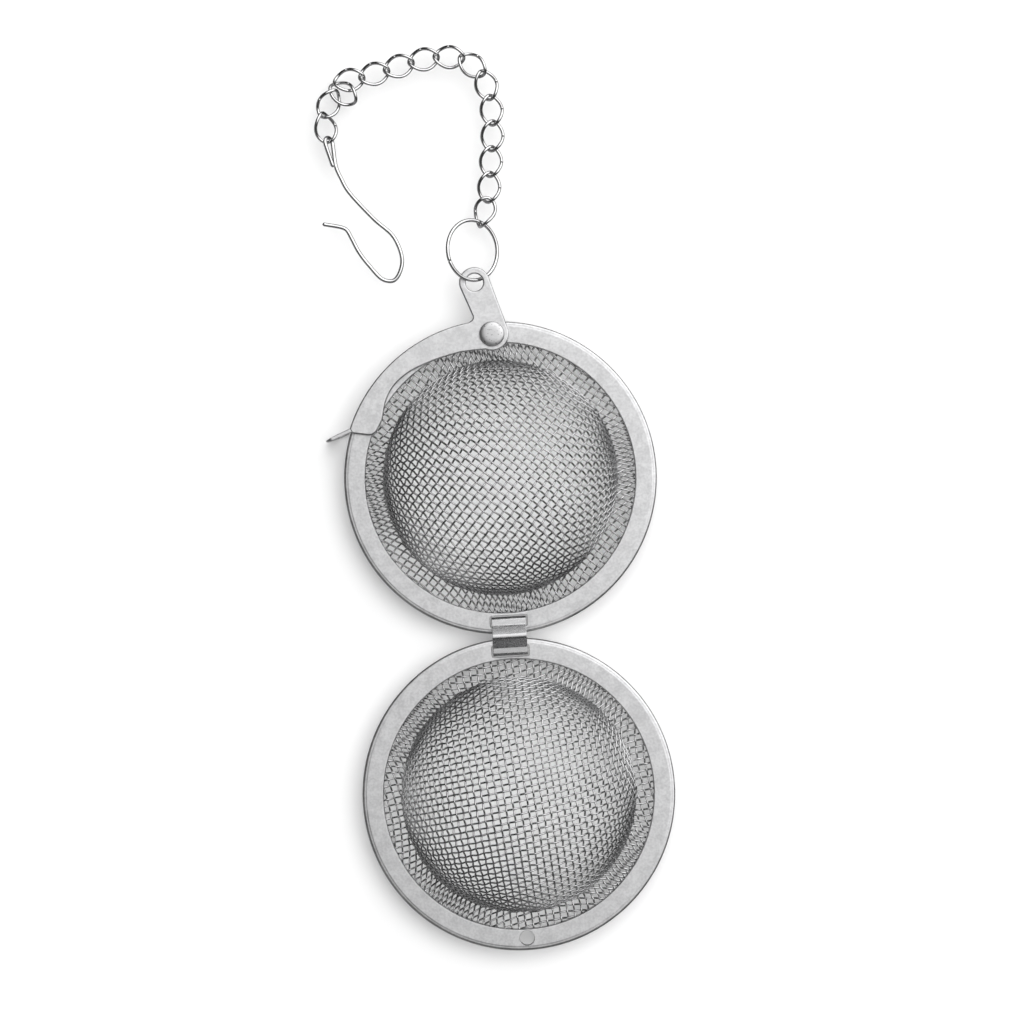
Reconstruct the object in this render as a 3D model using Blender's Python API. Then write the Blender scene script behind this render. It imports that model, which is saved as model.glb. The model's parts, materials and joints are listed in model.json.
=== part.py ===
"""Mesh tea ball, folded open, with its latch, ring, curb chain and hook. Metres, +Z up.

The origin is on the hinge strap's flat underside, straight under the hinge axis of the upper half.
+Y runs from the hinge towards the chain, and both mesh domes rise along +Z.
"""

import math

import bmesh
import bpy
from mathutils import Matrix, Vector

MM = 0.001
UP = Vector((0, 0, 1))
CLEARANCE = 0.25 * MM
SMOOTH_ANGLE = math.radians(35)
ROUND_STEPS = 20

# Rims: a folded sheet ring that clamps the mesh in a groove on its inner side.
RIM_RADIUS = 25.5 * MM
RIM_BORE = 22.0 * MM
RIM_THICKNESS = 1.7 * MM
RIM_SHEET = 0.45 * MM
RIM_HEM = 0.3 * MM
GROOVE_RADIUS = 24.0 * MM
RIM_STEPS = 64
CUTTER_DEPTH = 4 * RIM_THICKNESS

# Mesh: a dome with a flat flange.
MESH_THICKNESS = 0.5 * MM
FLANGE_RADIUS = 23.8 * MM
DOME_RADIUS = 19.15 * MM
DOME_HEIGHT = 17.5 * MM
DOME_FILLET = 0.7 * MM
DOME_STEPS = 40
DOME_RINGS = 7

# Hinge: a strap bent round the bar that each slot leaves at its rim's edge.
EDGE_GAP = 0.66 * MM
BAR_WIDTH = 1.2 * MM
SLOT_WIDTH = 1.87 * MM
SLOT_LENGTH = 6.1 * MM
STRAP_LENGTH = 5.6 * MM
STRAP_REACH = 3.15 * MM
STRAP_SHEET = 0.35 * MM
STRAP_SHOULDER = Vector((1.85, 1.55)) * MM
STRAP_RIDGE = 0.15 * MM
STRAP_NOSE = 0.3 * MM
STRAP_SEAM = 0.15 * MM
BAR_SPACING = EDGE_GAP + BAR_WIDTH
BAR_Z = STRAP_SHOULDER.y
FACE_Z = BAR_Z - RIM_THICKNESS / 2
HINGE_Y = -BAR_SPACING / 2
RIM_REACH = EDGE_GAP / 2 + RIM_RADIUS

# Latch: a flat lever on a rivet, with a notched catch that hangs past the rims' edge. The eye and the
# catch are placed from the rivet.
RIVET_REACH = 49.3 * MM
RIVET_Y = HINGE_Y + RIVET_REACH
RIVET_HEAD_RADIUS = 2.05 * MM
RIVET_HEAD_HEIGHT = 1.0 * MM
RIVET_SHANK_RADIUS = 0.7 * MM
RIVET_TAIL_RADIUS = 1.0 * MM
RIVET_TAIL_HEIGHT = 0.5 * MM
RIVET_TAIL_CHAMFER = 0.15 * MM
RIVET_DOME_STEPS = 5
RIVET_PLAY = 0.15 * MM
RIVET_HOLE_RADIUS = 0.9 * MM
LEVER_HOLE_RADIUS = 0.95 * MM
TAIL_HOLE_RADIUS = 1.2 * MM
LEVER_GAP = 0.25 * MM
LEVER_SHEET = 0.6 * MM
LEVER_RISE = RIM_THICKNESS + LEVER_GAP + LEVER_SHEET / 2
LEVER_Z = FACE_Z + LEVER_RISE
BOSS_RADIUS = 2.75 * MM
BOSS_START = math.radians(-115)
EYE_RADIUS = 2.5 * MM
EYE_HOLE_RADIUS = 1.5 * MM
EYE = Vector((-2.38, 8.51)) * MM

# The lever's arm follows the rim. Its angles are taken round the rim's centre from +X, and its back and
# front are measured from the rim's outer and inner edges.
ARM_OVERHANG = 0.3 * MM
ARM_NECK_ANGLE = math.radians(96.2)
ARM_NECK_OVERHANG = 0.8 * MM
ARM_SHOULDER_ANGLE = math.radians(98)
ARM_BACK_ANGLE = math.radians(99.5)
ARM_WAIST_ANGLE = math.radians(134)
ARM_WAIST_INSET = 1.0 * MM
ARM_TIP_ANGLE = math.radians(159)
ARM_TIP_OUTSET = 0.3 * MM
ARM_CORNER = 1.0 * MM

# The catch is a C seen from its side. Its blade meets the arm off its faces, so that the two join cleanly.
CATCH_START = Vector((-24.0, -14.4)) * MM
CATCH_END = Vector((-28.0, -15.95)) * MM
CATCH_SHEET = 0.7 * MM
CATCH_ROOT = 1.5 * MM
CATCH_NOTCH = 2.4 * MM
CATCH_JAW = 0.5 * MM
CATCH_CHAMFER = 0.6 * MM
CATCH_DROP = 0.4 * MM
CATCH_SLOT = 0.35 * MM
CATCH_TOP_INSET = 0.05 * MM
CATCH_UNDER_INSET = 0.08 * MM

# Ring, chain and hook, all of bent wire.
WIRE_SIDES_LEVEL = 1
RING_RADIUS = 4.9 * MM
RING_WIRE = 0.6 * MM
RING_TILT = math.radians(35)
RING_OFFSET = 0.39 * MM
RING_STEPS = 40
LINK_LENGTH = 5.45 * MM
LINK_WIDTH = 4.0 * MM
LINK_WIRE = 0.53 * MM
LINK_PITCH = 4.2 * MM
LINK_TWIST = math.radians(45)
LINK_STEPS = 24
HOOK_WIRE = 0.65 * MM

# The chain as it lies. Each link's heading is in degrees, anticlockwise from +X.
FIRST_LINK_TURN = math.radians(65)
FIRST_LINK_SEAT = 1.75 * MM
FIRST_LINK_ROLL = -25
LINK_HEADINGS = (70, 82, 83, 84, 93, 104, 140, 175, 189, 195, 193, 188)
# Link 13 is folded back beside link 12, and link 14 hangs from its near end. Starts are measured from
# link 12's far joint, and turns are (heading, climb, roll) in degrees.
FOLDED_START = Vector((-0.62, -0.58, -0.45)) * MM
FOLDED_TURN = (324, 13, 2)
RESUMED_START = Vector((-0.29, -1.57, 0)) * MM
RESUMED_TURNS = ((238, 0, -16), (278, 0, -20))

# The hook's eye is a teardrop in its own plane, and its shank is a flat curve measured from the eye's joint.
HOOK_EYE_RADIUS = 1.0 * MM
HOOK_EYE_LENGTH = 4.5 * MM
HOOK_EYE_SPREAD = math.radians(105)
HOOK_EYE_TURN = (281, 0, -55)
HOOK_EYE_SEAT = 0.42 * MM
HOOK_NECK = 0.3 * MM
HOOK_TAIL = 0.45 * MM
HOOK_SHANK = (
    (1.76, -6.36),
    (2.71, -8.36),
    (6.71, -13.26),
    (9.81, -16.46),
    (10.91, -20.56),
    (9.5, -23.4),
    (7.7, -23.25),
    (5.5, -20.8),
    (2.5, -15.4),
    (1.1, -14.2),
    (-1.7, -13.6),
)

STEEL = (0.60, 0.60, 0.61, 1.0)


def clear_scene():
    for old in list(bpy.data.objects):
        bpy.data.objects.remove(old, do_unlink=True)


def steel(name, roughness):
    """A bare stainless steel finish."""
    finish = bpy.data.materials.new(name)
    finish.use_nodes = True
    shader = finish.node_tree.nodes["Principled BSDF"]
    shader.inputs["Base Color"].default_value = STEEL
    shader.inputs["Metallic"].default_value = 1.0
    shader.inputs["Roughness"].default_value = roughness
    return finish


def add(name, data, finish=None, at=(0, 0, 0)):
    """An object of this mesh or curve, with its origin at this point."""
    item = bpy.data.objects.new(name, data)
    bpy.context.scene.collection.objects.link(item)
    item.location = at
    if finish:
        data.materials.append(finish)
    return item


def hang(child, parent):
    """Parents a piece without moving it."""
    bpy.context.view_layer.update()
    child.parent = parent
    child.matrix_parent_inverse = parent.matrix_world.inverted()


def finish_mesh(name, bm):
    bmesh.ops.recalc_face_normals(bm, faces=bm.faces[:])
    mesh = bpy.data.meshes.new(name)
    bm.to_mesh(mesh)
    bm.free()
    mesh.shade_smooth()
    mesh.set_sharp_from_angle(angle=SMOOTH_ANGLE)
    return mesh


def turned(name, profile, steps, ring):
    """A solid turned about Z from (radius, height) points, which close on themselves in a ring."""
    bm = bmesh.new()
    points = [bm.verts.new((radius, 0, height)) for radius, height in profile]
    ends = points[1:] + points[:1] if ring else points[1:]
    edges = [bm.edges.new(pair) for pair in zip(points, ends)]
    bmesh.ops.spin(
        bm, geom=points + edges, cent=(0, 0, 0), axis=UP, angle=2 * math.pi, steps=steps, use_merge=True
    )
    bmesh.ops.remove_doubles(bm, verts=bm.verts[:], dist=0.001 * MM)
    return finish_mesh(name, bm)


def extruded(name, outline, depth, holes=()):
    """A flat plate of this outline, from z = -depth / 2 to depth / 2, with round holes."""
    bm = bmesh.new()
    loops = [outline] + [circle(centre, radius) for centre, radius in holes]
    edges = []
    for loop in loops:
        ring = [bm.verts.new((x, y, -depth / 2)) for x, y in loop]
        edges += [bm.edges.new(pair) for pair in zip(ring, ring[1:] + ring[:1])]
    floor = bmesh.ops.triangle_fill(bm, edges=edges, use_beauty=True, normal=-UP)["geom"]
    faces = [item for item in floor if isinstance(item, bmesh.types.BMFace)]
    raised = bmesh.ops.extrude_face_region(bm, geom=faces, use_keep_orig=True)["geom"]
    tops = [item for item in raised if isinstance(item, bmesh.types.BMVert)]
    bmesh.ops.translate(bm, verts=tops, vec=(0, 0, depth))
    return finish_mesh(name, bm)


def arc(centre, radius, start, end, steps):
    """Points on a circle from one angle to another, both included."""
    turns = [start + (end - start) * step / steps for step in range(steps + 1)]
    return [Vector((centre[0] + radius * math.cos(t), centre[1] + radius * math.sin(t))) for t in turns]


def circle(centre, radius, steps=ROUND_STEPS):
    """Points all round a circle, the first not repeated."""
    return arc(centre, radius, 0, 2 * math.pi, steps)[:-1]


def polar(centre, radius, angle):
    return Vector((centre[0] + radius * math.cos(angle), centre[1] + radius * math.sin(angle)))


def circle_through(first, middle, last):
    """The centre of the circle through three points."""
    a = middle - first
    b = last - first
    scale = 2 * (a.x * b.y - a.y * b.x)
    x = (b.y * a.length_squared - a.y * b.length_squared) / scale
    y = (a.x * b.length_squared - b.x * a.length_squared) / scale
    return first + Vector((x, y))


def arc_through(first, middle, last, steps):
    """Points on the arc from the first point through the middle one to the last."""
    centre = circle_through(first, middle, last)
    start = math.atan2(first.y - centre.y, first.x - centre.x)
    sweep = (last - centre).angle_signed(first - centre)
    return arc(centre, (first - centre).length, start, start + sweep, steps)


def wire(name, points, gauge, closed):
    """A round wire bent along these points, with capped ends unless it closes on itself."""
    curve = bpy.data.curves.new(name, "CURVE")
    curve.dimensions = "3D"
    curve.bevel_depth = gauge / 2
    curve.bevel_resolution = WIRE_SIDES_LEVEL
    curve.use_fill_caps = not closed
    spline = curve.splines.new("POLY")
    spline.points.add(len(points) - 1)
    for knot, point in zip(spline.points, points):
        knot.co = (*point, 1)
    spline.use_cyclic_u = closed
    return curve


def combine(target, tool, operation):
    """Cuts a tool out of the target, or joins it on, and hides the tool."""
    tool.hide_render = True
    tool.display_type = "WIRE"
    modifier = target.modifiers.new(tool.name, "BOOLEAN")
    modifier.operation = operation
    modifier.object = tool


def slot_cutter(name, side, near, far, length):
    """A box through the rim, from one distance to another from the hinge's middle."""
    bm = bmesh.new()
    size = Matrix.Diagonal((length, far - near, CUTTER_DEPTH, 1))
    bmesh.ops.create_cube(bm, size=1, matrix=size)
    return add(name, finish_mesh(name, bm), at=(0, HINGE_Y + side * (near + far) / 2, BAR_Z))


def drill(name, radius, at):
    return add(name, extruded(name, circle((0, 0), radius), CUTTER_DEPTH), at=at)


def rim_profile():
    """The folded sheet's section, with its rolled hem outside and the mesh's groove inside."""
    hem = RIM_HEM * (1 - math.sqrt(0.5))
    low = [
        (RIM_BORE, 0),
        (RIM_RADIUS - RIM_HEM, 0),
        (RIM_RADIUS - hem, hem),
        (RIM_RADIUS, RIM_HEM),
    ]
    high = [(radius, RIM_THICKNESS - height) for radius, height in reversed(low)]
    groove = [
        (RIM_BORE, RIM_THICKNESS - RIM_SHEET),
        (GROOVE_RADIUS, RIM_THICKNESS - RIM_SHEET),
        (GROOVE_RADIUS, RIM_SHEET),
        (RIM_BORE, RIM_SHEET),
    ]
    return low + high + groove


def dome_line(base, inset):
    """The dome from its top down to the flange, drawn in by an inset."""
    turns = [math.pi / 2 * (1 - step / DOME_RINGS) for step in range(DOME_RINGS)]
    radius = DOME_RADIUS - inset
    height = DOME_HEIGHT - inset
    dome = [(radius * math.cos(turn), base + height * math.sin(turn)) for turn in turns]
    return dome + [(radius, base + DOME_FILLET), (radius + DOME_FILLET / 2, base)]


def mesh_profile():
    """A thin shell: down the outer face, round the flange's edge and up the inner face."""
    floor = (RIM_THICKNESS - MESH_THICKNESS) / 2
    outer = dome_line(floor + MESH_THICKNESS, 0)
    inner = dome_line(floor, MESH_THICKNESS)
    edge = [(FLANGE_RADIUS, floor + MESH_THICKNESS), (FLANGE_RADIUS, floor)]
    outer[0] = (0, outer[0][1])
    inner[0] = (0, inner[0][1])
    return outer + edge + inner[::-1]


def half(name, side, hole_radius, finishes):
    """One half of the ball: side is +1 for the half that carries the latch, -1 for the other."""
    centre = (0, HINGE_Y + side * RIM_REACH, FACE_Z)
    rim = add(name + "_rim", turned(name + "_rim", rim_profile(), RIM_STEPS, True), finishes[0], centre)
    mesh = add(name + "_mesh", turned(name + "_mesh", mesh_profile(), DOME_STEPS, False), finishes[1], centre)

    bar_edge = EDGE_GAP / 2 + BAR_WIDTH
    slot_end = bar_edge + SLOT_WIDTH
    slot = slot_cutter(name + "_slot", side, bar_edge, slot_end, SLOT_LENGTH)
    notch = slot_cutter(name + "_notch", side, 0, slot_end + CLEARANCE, SLOT_LENGTH + 2 * CLEARANCE)
    combine(rim, slot, "DIFFERENCE")
    combine(mesh, notch, "DIFFERENCE")

    rivet = (0, HINGE_Y + side * RIVET_REACH, BAR_Z)
    drills = [
        drill(name + "_rim_drill", hole_radius, rivet),
        drill(name + "_mesh_drill", TAIL_HOLE_RADIUS + CLEARANCE, rivet),
    ]
    combine(rim, drills[0], "DIFFERENCE")
    combine(mesh, drills[1], "DIFFERENCE")
    return [rim, mesh, slot, notch, *drills]


def strap_outline():
    """The strap's section in (y, z): a loop round both bars, open at a seam underneath."""
    shoulder = STRAP_SHOULDER
    outer = [
        Vector((STRAP_SEAM, -shoulder.y)),
        Vector((shoulder.x, -shoulder.y)),
        Vector((STRAP_REACH, -STRAP_NOSE)),
        Vector((STRAP_REACH, STRAP_NOSE)),
        Vector((shoulder.x, shoulder.y)),
    ]
    crown = Vector((0, shoulder.y + STRAP_RIDGE))
    outer = outer + [crown] + [Vector((-point.x, point.y)) for point in reversed(outer)]
    inner = [outer[0] + Vector((0, STRAP_SHEET))]
    for before, point, after in zip(outer, outer[1:], outer[2:]):
        inner.append(point + inset_corner(before, point, after, STRAP_SHEET))
    inner.append(outer[-1] + Vector((0, STRAP_SHEET)))
    return outer + inner[::-1]


def inset_corner(before, point, after, depth):
    """How far a corner moves when both its edges move to their left by a depth."""
    first = (point - before).normalized()
    second = (after - point).normalized()
    bisector = (first.orthogonal() + second.orthogonal()).normalized()
    return bisector * (depth / bisector.dot(first.orthogonal()))


def hinge_strap(finish):
    mesh = extruded("hinge_strap", strap_outline(), STRAP_LENGTH)
    # The section's (x, y) becomes the world's (y, z).
    mesh.transform(Matrix(((0, 0, 1, 0), (1, 0, 0, HINGE_Y), (0, 1, 0, 0), (0, 0, 0, 1))))
    return add("hinge_strap", mesh, finish, (0, 0, BAR_Z))


def lever_outline():
    """The lever seen from above, anticlockwise, with the rivet at (0, 0)."""
    rivet = Vector((0, 0))
    rim = Vector((0, RIM_REACH - RIVET_REACH))
    along = math.atan2(EYE.y, EYE.x)
    right = along - math.pi / 2
    back_radius = RIM_RADIUS + ARM_OVERHANG
    tip = ARM_TIP_ANGLE
    corner_angle = ARM_CORNER / back_radius

    boss = arc(rivet, BOSS_RADIUS, BOSS_START, right, 8)
    top = arc(EYE, EYE_RADIUS, right, right + math.pi, 12)
    neck = polar(rim, RIM_RADIUS + ARM_NECK_OVERHANG, ARM_NECK_ANGLE)
    shoulder = polar(rim, back_radius, ARM_SHOULDER_ANGLE)
    back = arc(rim, back_radius, ARM_BACK_ANGLE, tip - corner_angle, 12)
    outer_corner = polar(rim, back_radius - ARM_CORNER, tip)
    inner_corner = polar(rim, RIM_BORE + ARM_CORNER / 2, tip - corner_angle / 3)
    heel = polar(rim, RIM_BORE - ARM_TIP_OUTSET, tip - 1.6 * corner_angle)
    waist = polar(rim, RIM_BORE + ARM_WAIST_INSET, ARM_WAIST_ANGLE)
    front = arc_through(heel, waist, boss[0], 10)[:-1]
    return boss + top + [neck, shoulder] + back + [outer_corner, inner_corner] + front


def catch_outline():
    """The catch seen from its side: how far out along the catch, and how high above the mating faces."""
    top = LEVER_RISE + LEVER_SHEET / 2 - CATCH_TOP_INSET
    under = LEVER_RISE - LEVER_SHEET / 2 + CATCH_UNDER_INSET
    jaw = -RIM_THICKNESS - CATCH_DROP
    floor = jaw - CATCH_JAW
    reach = (CATCH_END - CATCH_START).length
    return [
        Vector((-CATCH_ROOT, top)),
        Vector((-CATCH_ROOT, under)),
        Vector((CATCH_NOTCH - CATCH_CHAMFER, under)),
        Vector((CATCH_NOTCH, under - CATCH_CHAMFER)),
        Vector((CATCH_NOTCH, jaw + CATCH_CHAMFER / 2)),
        Vector((CATCH_NOTCH - CATCH_CHAMFER / 2, jaw)),
        Vector((CATCH_SLOT, jaw)),
        Vector((CATCH_SLOT, floor)),
        Vector((reach - CATCH_CHAMFER, floor)),
        Vector((reach, floor + CATCH_CHAMFER)),
        Vector((reach, top - CATCH_CHAMFER)),
        Vector((reach - CATCH_CHAMFER, top)),
    ]


def latch_lever(finish):
    plate = extruded(
        "latch_lever",
        lever_outline(),
        LEVER_SHEET,
        [((0, 0), LEVER_HOLE_RADIUS), (EYE, EYE_HOLE_RADIUS)],
    )
    lever = add("latch_lever", plate, finish, (0, RIVET_Y, LEVER_Z))

    outward = CATCH_END - CATCH_START
    turn = Matrix.Rotation(math.atan2(outward.y, outward.x), 4, "Z") @ Matrix.Rotation(math.pi / 2, 4, "X")
    blade = extruded("catch", catch_outline(), CATCH_SHEET)
    blade.transform(turn)
    catch = add("catch", blade, at=(CATCH_START.x, RIVET_Y + CATCH_START.y, FACE_Z))
    combine(lever, catch, "UNION")
    hang(catch, lever)
    return lever


def latch_rivet(finish):
    """A domed head, a shank through lever and rim, and a peened tail that enters the other rim's hole."""
    seat = LEVER_RISE + LEVER_SHEET / 2 + RIVET_PLAY
    sphere = (RIVET_HEAD_RADIUS**2 + RIVET_HEAD_HEIGHT**2) / (2 * RIVET_HEAD_HEIGHT)
    spread = math.asin(RIVET_HEAD_RADIUS / sphere)
    crown = seat + RIVET_HEAD_HEIGHT
    turns = [spread * step / RIVET_DOME_STEPS for step in range(RIVET_DOME_STEPS + 1)]
    dome = [(sphere * math.sin(turn), crown - sphere * (1 - math.cos(turn))) for turn in turns]
    shank = [(RIVET_SHANK_RADIUS, seat), (RIVET_SHANK_RADIUS, -RIVET_PLAY)]
    tail_end = -RIVET_PLAY - RIVET_TAIL_HEIGHT
    tail = [
        (RIVET_TAIL_RADIUS, -RIVET_PLAY),
        (RIVET_TAIL_RADIUS, tail_end + RIVET_TAIL_CHAMFER),
        (RIVET_TAIL_RADIUS - RIVET_TAIL_CHAMFER, tail_end),
        (0, tail_end),
    ]
    solid = turned("latch_rivet", dome + shank + tail, ROUND_STEPS, False)
    return add("latch_rivet", solid, finish, (0, RIVET_Y, FACE_Z))


def turned_by(heading, climb, roll):
    """A rotation from degrees: roll about its own length, then climb above the floor, then heading."""
    spin = Matrix.Rotation(math.radians(roll), 4, "X")
    rise = Matrix.Rotation(-math.radians(climb), 4, "Y")
    return Matrix.Rotation(math.radians(heading), 4, "Z") @ rise @ spin


def eye_centre():
    return Vector((EYE.x, RIVET_Y + EYE.y, LEVER_Z))


def ring_centre():
    return eye_centre() + Vector((0, RING_OFFSET + RING_RADIUS, 0))


def wire_ring(finish):
    """A ring through the lever's eye, which is its origin, half over and half under the lever."""
    line = circle((0, RING_OFFSET + RING_RADIUS), RING_RADIUS, RING_STEPS)
    curve = wire("ring", [(*point, 0) for point in line], RING_WIRE, True)
    item = add("ring", curve, finish, eye_centre())
    item.rotation_euler = (0, RING_TILT, 0)
    return item


def link_line():
    """An oval along X, twisted along its length, with its origin at the joint with the link before."""
    half_length = (LINK_LENGTH - LINK_WIRE) / 2
    half_width = (LINK_WIDTH - LINK_WIRE) / 2
    points = []
    for step in range(LINK_STEPS):
        turn = 2 * math.pi * step / LINK_STEPS
        across = half_width * math.sin(turn)
        twist = LINK_TWIST * math.cos(turn)
        along = LINK_PITCH / 2 + half_length * math.cos(turn)
        points.append((along, across * math.cos(twist), across * math.sin(twist)))
    return points


def link_places():
    """Each link's joint with the piece before it, and its rotation there."""
    on_ring = Vector((RING_RADIUS * math.cos(FIRST_LINK_TURN), RING_RADIUS * math.sin(FIRST_LINK_TURN), 0))
    start = ring_centre() + Matrix.Rotation(RING_TILT, 4, "Y") @ on_ring
    places = []
    for number, heading in enumerate(LINK_HEADINGS):
        turn = turned_by(heading, 0, 0 if number else FIRST_LINK_ROLL)
        along = turn.to_3x3() @ Vector((1, 0, 0))
        if number == 0:
            start += along * (FIRST_LINK_SEAT - LINK_PITCH / 2)
        places.append((start.copy(), turn))
        start += along * LINK_PITCH
    places.append((start + FOLDED_START, turned_by(*FOLDED_TURN)))
    start += RESUMED_START
    for angles in RESUMED_TURNS:
        turn = turned_by(*angles)
        places.append((start.copy(), turn))
        start += turn.to_3x3() @ Vector((LINK_PITCH, 0, 0))
    return places, start


def smooth_line(points, steps):
    """A centripetal Catmull-Rom curve through these points, with this many steps from one to the next."""
    points = [2 * points[0] - points[1], *points, 2 * points[-1] - points[-2]]
    line = []
    for p0, p1, p2, p3 in zip(points, points[1:], points[2:], points[3:]):
        t1 = (p1 - p0).length ** 0.5
        t2 = t1 + (p2 - p1).length ** 0.5
        t3 = t2 + (p3 - p2).length ** 0.5
        for step in range(steps):
            t = t1 + (t2 - t1) * step / steps
            a1 = p0.lerp(p1, t / t1)
            a2 = p1.lerp(p2, (t - t1) / (t2 - t1))
            a3 = p2.lerp(p3, (t - t2) / (t3 - t2))
            b1 = a1.lerp(a2, t / t2)
            b2 = a2.lerp(a3, (t - t1) / (t3 - t1))
            line.append(b1.lerp(b2, (t - t1) / (t2 - t1)))
    return line + [points[-2]]


def hook_line():
    """From the tail of the eye, round the eye, down the shank and round the bend to the tip."""
    middle = (HOOK_EYE_RADIUS - HOOK_EYE_SEAT, 0)
    head = arc(middle, HOOK_EYE_RADIUS, -HOOK_EYE_SPREAD, HOOK_EYE_SPREAD - 2 * math.pi, 8)
    flat = [Vector((HOOK_EYE_LENGTH, -HOOK_TAIL)), *head, Vector((HOOK_EYE_LENGTH, HOOK_NECK))]
    turn = turned_by(*HOOK_EYE_TURN)
    eye = [turn @ point.to_3d() for point in flat]
    shank = [Vector((x, y, 0)) * MM for x, y in HOOK_SHANK]
    return smooth_line([*eye, *shank], 4)


def chain(finish):
    places, end = link_places()
    line = link_line()
    links = []
    curve = wire("chain_link", line, LINK_WIRE, True)
    curve.materials.append(finish)
    for number, (start, turn) in enumerate(places, 1):
        link = add(f"chain_link_{number:02d}", curve)
        link.matrix_world = Matrix.Translation(start) @ turn
        links.append(link)
    hook = add("hook", wire("hook", hook_line(), HOOK_WIRE, False), finish, end)
    return [*links, hook]


def empty(name, at):
    return add(name, None, at=at)


def main():
    clear_scene()
    sheet = steel("steel_sheet", 0.30)
    mesh_wire = steel("mesh_wire", 0.28)
    bright = steel("bright_steel", 0.18)
    bent_wire = steel("steel_wire", 0.20)

    upper = empty("upper_half", (0, 0, BAR_Z))
    lower = empty("lower_half", (0, -BAR_SPACING, BAR_Z))
    slide = empty("ring_slide", ring_centre())
    strap = hinge_strap(sheet)
    lever = latch_lever(sheet)
    ring = wire_ring(bent_wire)
    links = chain(bent_wire)

    rivet = latch_rivet(bright)
    for piece in [*half("upper", 1, RIVET_HOLE_RADIUS, (sheet, mesh_wire)), rivet, strap, lever]:
        hang(piece, upper)
    for piece in half("lower", -1, TAIL_HOLE_RADIUS, (sheet, mesh_wire)):
        hang(piece, lower)
    hang(lower, strap)
    hang(ring, lever)
    hang(slide, ring)
    for piece, holder in zip(links, [slide, *links]):
        hang(piece, holder)


main()
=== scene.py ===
"""Looks of the mesh tea ball: woven domes, folded rims, latch, hinge strap, ring, chain and hook."""

import json
import math

import bmesh
import bpy
import numpy as np
from mathutils import Matrix, Vector

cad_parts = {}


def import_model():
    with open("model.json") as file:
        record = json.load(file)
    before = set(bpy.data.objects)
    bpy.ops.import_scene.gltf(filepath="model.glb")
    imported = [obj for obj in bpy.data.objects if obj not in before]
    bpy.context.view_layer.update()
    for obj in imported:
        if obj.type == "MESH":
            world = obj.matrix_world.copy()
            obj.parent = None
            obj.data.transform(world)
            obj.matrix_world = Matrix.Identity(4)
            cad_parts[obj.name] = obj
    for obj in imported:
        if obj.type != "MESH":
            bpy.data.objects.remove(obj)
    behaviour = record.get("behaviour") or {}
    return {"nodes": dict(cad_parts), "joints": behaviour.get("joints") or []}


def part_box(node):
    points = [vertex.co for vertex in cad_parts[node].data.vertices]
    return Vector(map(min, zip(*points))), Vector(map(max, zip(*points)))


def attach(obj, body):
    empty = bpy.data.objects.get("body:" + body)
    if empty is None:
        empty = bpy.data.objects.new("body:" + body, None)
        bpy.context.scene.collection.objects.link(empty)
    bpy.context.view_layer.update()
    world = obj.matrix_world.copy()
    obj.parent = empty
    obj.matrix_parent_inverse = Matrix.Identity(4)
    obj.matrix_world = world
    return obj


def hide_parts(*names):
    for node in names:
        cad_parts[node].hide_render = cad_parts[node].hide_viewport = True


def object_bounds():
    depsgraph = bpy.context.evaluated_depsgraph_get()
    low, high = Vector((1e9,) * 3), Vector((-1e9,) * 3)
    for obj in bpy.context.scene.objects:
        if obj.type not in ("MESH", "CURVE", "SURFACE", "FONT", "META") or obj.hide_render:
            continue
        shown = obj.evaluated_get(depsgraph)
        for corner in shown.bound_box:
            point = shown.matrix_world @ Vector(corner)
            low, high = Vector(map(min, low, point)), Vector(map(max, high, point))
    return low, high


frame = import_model()
cad_low, cad_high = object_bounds()

MM = 0.001
JOINTS = {joint["name"]: joint for joint in frame["joints"]}
NODES = frame["nodes"]

# How finely shapes are cut, and how close two points are to count as one.
SHARP_ANGLE = math.radians(32)
FLAT_ANGLE = math.radians(0.2)
CORNER_SHARE = 0.48
CORNER_STEPS = 8
HOLE_STEPS = 48
LATHE_WELD = 1e-7
PLATE_WELD = 1e-6

# Rims: folded sheet with a rolled outer edge and two lips that clamp the weave.
RIM_BORE = 22.0 * MM
RIM_SHEET = 0.45 * MM
RIM_HEM = 0.42 * MM
LIP_EDGE = 0.22 * MM
GROOVE_RADIUS = 24.0 * MM
STEP_INSET = 0.8 * MM
STEP_DEPTH = 0.03 * MM
STEP_WIDTH = 0.3 * MM
STEP_SLICES = 6
LIP_STEPS = 5
RIM_STEPS = 288
SLOT_LENGTH = 6.1 * MM
SLOT_WIDTH = 1.87 * MM
SLOT_CORNER = 0.35 * MM
BAR_WIDTH = 1.2 * MM
RIVET_HOLE_RADIUS = 0.9 * MM
TAIL_HOLE_RADIUS = 1.2 * MM
CUT_BEVEL = 0.06 * MM
CUT_REACH = 0.6 * MM
SEAM_HALF = 0.12 * MM
SEAM_ROOT = SEAM_HALF / 3
SEAM_DEPTH = 0.14 * MM

# Hinge strap: its section is given from the hinge's middle, as (Y, Z).
STRAP_LENGTH = 5.6 * MM
STRAP_REACH = 3.15 * MM
STRAP_SHEET = 0.35 * MM
STRAP_BELLY = Vector((1.85, -1.52)) * MM
STRAP_CROWN = 2.05 * MM
STRAP_CREASE = Vector((1.85, 1.16)) * MM
STRAP_BROW = Vector((2.95, 1.13)) * MM
STRAP_NOSE = 0.6 * MM
STRAP_SEAM = 0.15 * MM
STRAP_EDGE = 0.08 * MM
# The radii of its bends, from the seam underneath, round one bar and up to the crown.
STRAP_BENDS = (0, 0.5 * MM, 0.5 * MM, 0.45 * MM, 0.45 * MM, 0.3 * MM, 1.0 * MM)

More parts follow.
